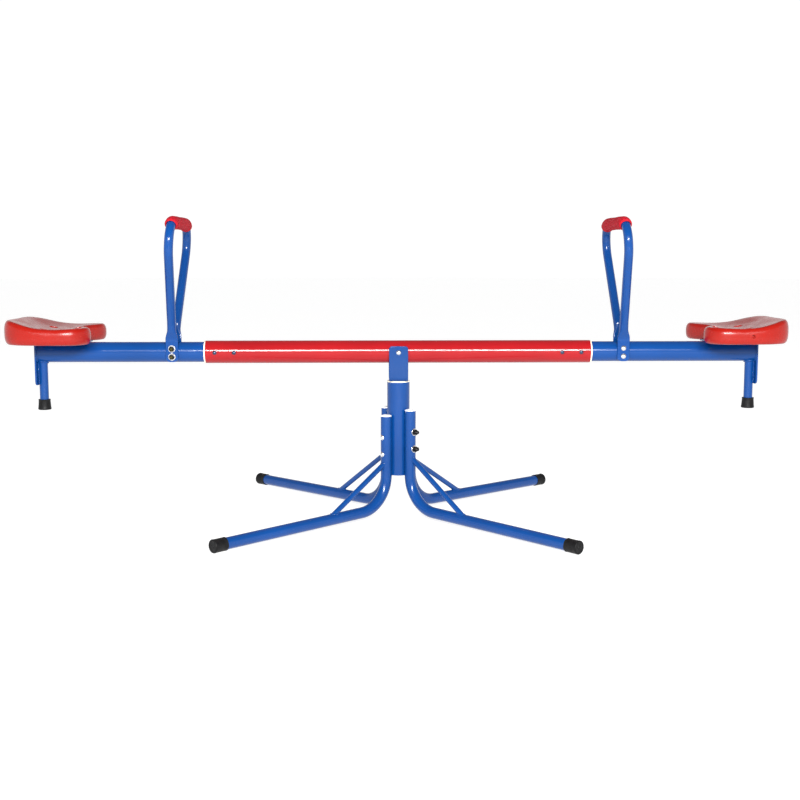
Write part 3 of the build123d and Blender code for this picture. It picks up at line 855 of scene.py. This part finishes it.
def handle_fasteners():
    """Heads, threaded ends, washers and nuts of one handle."""
    face = ARM_R + 4.1
    heads = []
    threads = []
    washers = []
    nuts = []
    for z in (BEAM_Z + rise for rise in HANDLE_BOLT_RISES):
        near = (HANDLE_X, -face, z)
        far = Vector((HANDLE_X, face, z))
        heads.append(lathe(dome(*HANDLE_HEAD), near, (0, -1, 0), 48))
        threads.append(screw_thread(far, (0, 1, 0), M8_THREAD, 10.5))
        washers.append(flat_washer(far + Vector((0, 0.05, 0)), (0, 1, 0), *M8_WASHER))
        nuts.append(hex_nut(far + Vector((0, 1.6, 0)), (0, 1, 0), *M8_NUT))
    return heads, threads, washers, nuts


def joint_fasteners():
    """Heads, threaded ends and nuts of the bolts through one end of the centre tube."""
    surface = high("centre_tube").y
    heads = []
    threads = []
    nuts = []
    for x in JOINT_BOLT_X:
        heads.append(lathe(dome(*JOINT_HEAD), (x, -surface + 0.5, BEAM_Z), (0, -1, 0), 40))
        threads.append(screw_thread((x, surface - 1, BEAM_Z), (0, 1, 0), M6_THREAD, 7.6))
        nuts.append(hex_nut((x, surface - 0.5, BEAM_Z), (0, 1, 0), *M6_NUT))
    return heads, threads, nuts


def seat_fasteners():
    """Heads below and nuts in the pockets of one seat."""
    plate = low("seat_plate_right").z
    pocket = SEAT_BOTTOM + POCKET_RISE
    heads = []
    threads = []
    washers = []
    nuts = []
    for x in SEAT_BOLT_X:
        for y in SEAT_BOLT_Y:
            heads.append(lathe(dome(*SEAT_HEAD), (x, y, plate), (0, 0, -1), 48))
            threads.append(screw_thread((x, y, pocket), (0, 0, 1), M6_THREAD, 10.2))
            washers.append(flat_washer((x, y, pocket + 0.05), (0, 0, 1), *M6_WASHER))
            nuts.append(hex_nut((x, y, pocket + 1.5), (0, 0, 1), *M6_NUT))
    return heads, threads, washers, nuts


def seat_outline(count):
    """Plan of the seat as (angle, radius) about its middle, from a closed smooth curve."""
    half = [(750.0, 86.8), (776.0, 130.2), (830.0, 140.0), (910.0, 133.0), (948.0, 106.4)]
    knots = [(784.0, 0.0)] + half + [(960.0, 0.0)] + [(x, -y) for x, y in reversed(half)]
    return closed_spline(knots, count)


def closed_spline(knots, per_run):
    """Periodic cubic through the knots, parameterised by chord length."""
    total = len(knots)
    knots = [Vector((x, y, 0)) for x, y in knots]
    steps = [(knots[(k + 1) % total] - knots[k]).length for k in range(total)]
    # tangents by repeated relaxation of the periodic spline equations
    tangents = [Vector((0, 0, 0)) for _ in range(total)]
    for _ in range(60):
        for k in range(total):
            before = steps[k - 1]
            after = steps[k]
            slope_in = (knots[k] - knots[k - 1]) / before
            slope_out = (knots[(k + 1) % total] - knots[k]) / after
            right = 3 * (slope_in * after + slope_out * before)
            around = tangents[k - 1] * after + tangents[(k + 1) % total] * before
            tangents[k] = (right - around) / (2 * (before + after))
    points = []
    for k in range(total):
        start = knots[k]
        end = knots[(k + 1) % total]
        reach = steps[k]
        for j in range(per_run):
            t = j / per_run
            h00 = 2 * t**3 - 3 * t**2 + 1
            h10 = t**3 - 2 * t**2 + t
            h01 = -2 * t**3 + 3 * t**2
            h11 = t**3 - t**2
            leaving = tangents[k] * (h10 * reach)
            arriving = tangents[(k + 1) % total] * (h11 * reach)
            points.append(start * h00 + leaving + end * h01 + arriving)
    return points


def rim_heights():
    """First place along the beam, and the smoothed height of the seat's rim at each millimetre."""
    knots = [(740, 41.5), (785, 40.0), (825, 38.3), (850, 39.2)]
    knots += [(880, 42.5), (915, 51.0), (948, 58.6), (972, 60.0)]
    table = []
    for (x0, z0), (x1, z1) in zip(knots, knots[1:]):
        table += [z0 + (z1 - z0) * (x - x0) / (x1 - x0) for x in range(x0, x1)]
    table.append(knots[-1][1])
    for _ in range(260):
        inner = [(table[k - 1] + 2 * table[k] + table[k + 1]) / 4 for k in range(1, len(table) - 1)]
        table = [table[0]] + inner + [table[-1]]
    return knots[0][0], table


def rim_height(heights, x):
    """Height of the seat's rim at a place along the beam."""
    first, table = heights
    spot = max(0.0, min(len(table) - 1.001, x - first))
    k = int(spot)
    return table[k] + (table[k + 1] - table[k]) * (spot - k)


def outward_normals(outline, middle):
    """Level unit normals of a closed outline, pointing away from its middle."""
    count = len(outline)
    normals = []
    for k in range(count):
        ahead = outline[(k + 1) % count] - outline[k - 1]
        normals.append(Vector((ahead.y, -ahead.x, 0)).normalized())
    if normals[0].dot(outline[0] - middle) < 0:
        normals = [-normal for normal in normals]
    return normals


def band_below(here, there, count):
    """Faces from one ring of points to the next, facing down."""
    faces = []
    for k in range(count):
        after = (k + 1) % count
        faces.append((here + after, here + k, there + k, there + after))
    return faces


def seat_shell():
    """Closed skin of a seat: bulged skirt, dished top and flat underside."""
    outline = seat_outline(14)
    count = len(outline)
    heights = rim_heights()
    middle = SEAT_MIDDLE
    normals = outward_normals(outline, middle)
    edge = 11.5
    bulge = 2.5
    steps = 22
    points = []
    for row in range(steps + 1):
        level = -cos(pi * row / steps)
        inset = edge * (1 - max(0.0, 1 - abs(level) ** bulge) ** (1 / bulge))
        for k in range(count):
            place = outline[k] - normals[k] * inset
            height = rim_height(heights, outline[k].x) * (1 + level) / 2
            points.append(Vector((place.x, place.y, SEAT_BOTTOM + height)))
    # dished top, in rings that shrink towards the middle
    rings = 26
    dish = 8.5
    for r in range(1, rings):
        share = 1 - r / rings
        for k in range(count):
            border = outline[k] - normals[k] * edge
            place = middle + (border - middle) * share
            depth = dish * (1 - share**2.4) ** 1.3
            inside = rim_height(heights, place.x) * (1 - share**4)
            level = inside + rim_height(heights, outline[k].x) * share**4
            points.append(Vector((place.x, place.y, SEAT_BOTTOM + level - depth)))
    lowest = rim_height(heights, middle.x) - dish
    points.append(Vector((middle.x, middle.y, SEAT_BOTTOM + lowest)))
    faces = bridge(steps + rings, count, caps=False)
    tip = len(points) - 1
    last_ring = tip - count
    for k in range(count):
        faces.append((last_ring + k, last_ring + (k + 1) % count, tip))
    # flat underside, in rings as well
    base = len(points)
    under = 8
    for r in range(1, under):
        share = 1 - r / under
        for k in range(count):
            place = middle + (points[k] - Vector((middle.x, middle.y, points[k].z))) * share
            points.append(Vector((place.x, place.y, SEAT_BOTTOM)))
    points.append(Vector((middle.x, middle.y, SEAT_BOTTOM)))
    faces += band_below(0, base, count)
    for r in range(under - 2):
        faces += band_below(base + r * count, base + (r + 1) * count, count)
    tip = len(points) - 1
    last_ring = tip - count
    for k in range(count):
        faces.append((last_ring + (k + 1) % count, last_ring + k, tip))
    return points, faces


def seat_cutters():
    """Bolt pockets, the mark of the blow pin, and the recess for the seat plate, as one mesh."""
    parts = []
    profile = [(0, POCKET_RISE), (7.6, POCKET_RISE), (8.0, POCKET_RISE + 0.4), (8.0, 26.0)]
    profile += [(8.3, 29.0), (9.2, 31.5), (11.5, 34.0), (16.0, 60.0), (0, 60.0)]
    for x in SEAT_BOLT_X:
        for y in SEAT_BOLT_Y:
            parts.append(lathe(profile, (x, y, SEAT_BOTTOM), (0, 0, 1), 40))
    blow_pin = [(0, 0), (4.4, 0), (4.4, 11.0), (3.4, 13.5), (0, 13.5)]
    parts.append(lathe(blow_pin, (855.0, -148.0, SEAT_BOTTOM + 20.0), (0, 1, 0), 24))
    plate_low = low("seat_plate_right")
    plate_high = high("seat_plate_right")
    centre = (plate_low + plate_high) / 2
    gap = 2
    half_length = (plate_high.x - plate_low.x) / 2 + gap
    half_width = (plate_high.y - plate_low.y) / 2 + gap
    outline = box_ring(half_length, half_width, 11, 5)
    levels = (SEAT_BOTTOM - 5, plate_high.z + 0.1)
    points = [Vector((centre.x + u, centre.y + v, z)) for z in levels for u, v in outline]
    parts.append((points, bridge(2, len(outline))))
    return joined(parts)


def cut(made, cutter_mesh):
    """Subtract a mesh from a piece and keep the result."""
    points, faces = cutter_mesh
    data = bpy.data.meshes.new("cutter")
    data.from_pydata([point * MM for point in points], [], faces)
    cutter = bpy.data.objects.new("cutter", data)
    bpy.context.scene.collection.objects.link(cutter)
    modifier = made.modifiers.new("cut", "BOOLEAN")
    modifier.operation = "DIFFERENCE"
    modifier.solver = "EXACT"
    modifier.object = cutter
    bpy.context.view_layer.update()
    graph = bpy.context.evaluated_depsgraph_get()
    result = bpy.data.meshes.new_from_object(made.evaluated_get(graph))
    made.modifiers.clear()
    made.data = result
    bpy.data.objects.remove(cutter)
    result.polygons.foreach_set("use_smooth", [True] * len(result.polygons))
    result.set_sharp_from_angle(angle=radians(35))
    return made


def make_beam():
    """Pieces that tip with the beam."""
    fasteners = {"handle": handle_fasteners(), "seat": seat_fasteners(), "joint": joint_fasteners()}
    for side, angle in SIDES.items():
        shell = turned(seat_shell(), angle)
        seat = piece(f"moulded_seat_{side}", shell, "beam", SEAT_RED, [f"seat_{side}"])
        cut(seat, turned(seat_cutters(), angle))
        tube = turned(handle(), angle)
        piece(f"handle_tube_{side}", tube, "beam", BLUE, [f"handle_{side}"])
        foam_sleeve = turned(grip(), angle)
        sleeve = piece(f"foam_grip_{side}", foam_sleeve, "beam", FOAM_RED, [f"grip_{side}"])
        plate = turned(end_plate(), angle)
        stop = piece(f"stop_plate_{side}", plate, "beam", BLUE, [f"end_plate_{side}"])
        bevelled(stop, 0.8)
        piece(f"arm_end_welds_{side}", turned(arm_end_welds(), angle), "beam", BLUE)
        piece(f"seat_plate_welds_{side}", turned(seat_plate_welds(), angle), "beam", BLUE)
        foot = turned(foot_cap(), angle)
        piece(f"rubber_foot_{side}", foot, "beam", RUBBER, [f"foot_cap_{side}"])

    def both(parts):
        return joined([turned(part, angle) for part in parts for angle in SIDES.values()])

    heads, threads, washers, nuts = fasteners["handle"]
    piece("handle_bolt_heads", both(heads), "beam", ZINC, ["handle_bolts"])
    piece("handle_bolt_threads", both(threads), "beam", SHADED_YELLOW_ZINC, ["handle_bolts"])
    piece("handle_flat_washers", both(washers), "beam", ZINC, ["handle_washers"])
    piece("handle_lock_nuts", both(nuts), "beam", BLACK_STEEL, ["handle_nuts"])
    heads, threads, washers, nuts = fasteners["seat"]
    piece("seat_bolt_detail", both(heads + threads), "beam", ZINC, ["seat_bolts"])
    piece("seat_flat_washers", both(washers), "beam", ZINC, ["seat_washers"])
    piece("seat_lock_nuts", both(nuts), "beam", ZINC, ["seat_nuts"])
    heads, threads, nuts = fasteners["joint"]
    centre_bolts = []
    for mesh in heads + threads:
        centre_bolts.append(mesh)
        centre_bolts.append(mirrored_x(mesh))
    piece("joint_bolt_detail", joined(centre_bolts), "beam", BLUED_STEEL, ["joint_bolts"])
    nut_parts = nuts + [mirrored_x(mesh) for mesh in nuts]
    piece("joint_lock_nuts", joined(nut_parts), "beam", BLUED_STEEL, ["joint_nuts"])


def mirrored_x(mesh):
    """The mesh mirrored to the other side of the post."""
    points, faces = mesh
    return [Vector((-p.x, p.y, p.z)) for p in points], [tuple(reversed(face)) for face in faces]


# ---- stage ----------------------------------------------------------------------------------

HORIZON_LIGHT = 1.05
SKY_LIGHT = 0.26
HORIZON_TOP = 13.0  # degrees above the horizon up to which the surroundings are bright
SKY_START = 32.0  # degrees above the horizon from which they are dim
FLOOR_GLOW = 0.81
FLOOR_RADIUS = 30.0
FLOOR_LEVEL = -0.0002  # just under the caps, so that they never share a plane with it
STRIP_TARGET = (0, 0, 0.4)
STRIP_POWER = 240.0
FAINT_STRIP_POWER = 35.0


def make_camera():
    """Camera in front of the seesaw, a little above it and off its middle."""
    yaw = radians(1.23)
    pitch = radians(7.0)
    data = bpy.data.cameras.new("camera")
    data.sensor_width = 36.0
    data.lens = 54.0
    camera = bpy.data.objects.new("camera", data)
    camera.location = (-0.0606, -3.0144, 0.6652)
    forward = Vector((sin(yaw) * cos(pitch), cos(yaw) * cos(pitch), -sin(pitch)))
    camera.rotation_euler = forward.to_track_quat("-Z", "Y").to_euler()
    bpy.context.scene.collection.objects.link(camera)
    bpy.context.scene.camera = camera


def make_floor():
    """Pale, softly lit studio table that runs out of sight on every side."""
    paint = Look("studio_white", (0.42, 0.42, 0.42), 0.85, Specular_IOR_Level=0.05)
    paint.colour(paint.noise(0.7, 2.0), (0.415, 0.42, 0.425), (0.425, 0.425, 0.42))
    paint.shader.inputs["Emission Color"].default_value = (1, 1, 1, 1)
    paint.shader.inputs["Emission Strength"].default_value = FLOOR_GLOW
    count = 96
    points = [Vector((0, 0, FLOOR_LEVEL))]
    for k in range(count):
        angle = 2 * pi * k / count
        points.append(Vector((FLOOR_RADIUS * cos(angle), FLOOR_RADIUS * sin(angle), FLOOR_LEVEL)))
    faces = [(0, 1 + k, 1 + (k + 1) % count) for k in range(count)]
    data = bpy.data.meshes.new("floor")
    data.from_pydata(points, [], faces)
    data.materials.append(paint.material)
    floor = bpy.data.objects.new("floor", data)
    bpy.context.scene.collection.objects.link(floor)


def area_light(name, place, target, size, power):
    data = bpy.data.lights.new(name, "AREA")
    data.shape = "RECTANGLE"
    data.size = size[0]
    data.size_y = size[1]
    data.energy = power
    light = bpy.data.objects.new(name, data)
    light.location = place
    away = Vector(target) - Vector(place)
    light.rotation_euler = away.to_track_quat("-Z", "Y").to_euler()
    bpy.context.scene.collection.objects.link(light)


def make_lights():
    """Bright horizon, dimmer sky, and two long strips above the camera."""
    world = bpy.data.worlds.new("studio")
    world.use_nodes = True
    tree = world.node_tree
    background = tree.nodes["Background"]
    background.inputs["Color"].default_value = (1, 1, 1, 1)
    direction = tree.nodes.new("ShaderNodeTexCoord").outputs["Generated"]
    split = tree.nodes.new("ShaderNodeSeparateXYZ")
    fade = tree.nodes.new("ShaderNodeMapRange")
    fade.interpolation_type = "SMOOTHSTEP"
    fade.inputs["From Min"].default_value = sin(radians(HORIZON_TOP))
    fade.inputs["From Max"].default_value = sin(radians(SKY_START))
    fade.inputs["To Min"].default_value = HORIZON_LIGHT
    fade.inputs["To Max"].default_value = SKY_LIGHT
    tree.links.new(direction, split.inputs["Vector"])
    tree.links.new(split.outputs["Z"], fade.inputs["Value"])
    tree.links.new(fade.outputs["Result"], background.inputs["Strength"])
    bpy.context.scene.world = world
    area_light("strip", (0.07, -3.6, 1.66), STRIP_TARGET, (2.2, 0.42), STRIP_POWER)
    area_light("faint_strip", (0.07, -3.7, 1.7), STRIP_TARGET, (5.6, 0.4), FAINT_STRIP_POWER)
    scene = bpy.context.scene
    scene.view_settings.view_transform = "Standard"
    scene.view_settings.look = "None"
    scene.view_settings.exposure = 0.0


dress_cad_nodes()
make_camera()
make_base()
make_swivel()
make_beam()
make_floor()
make_lights()
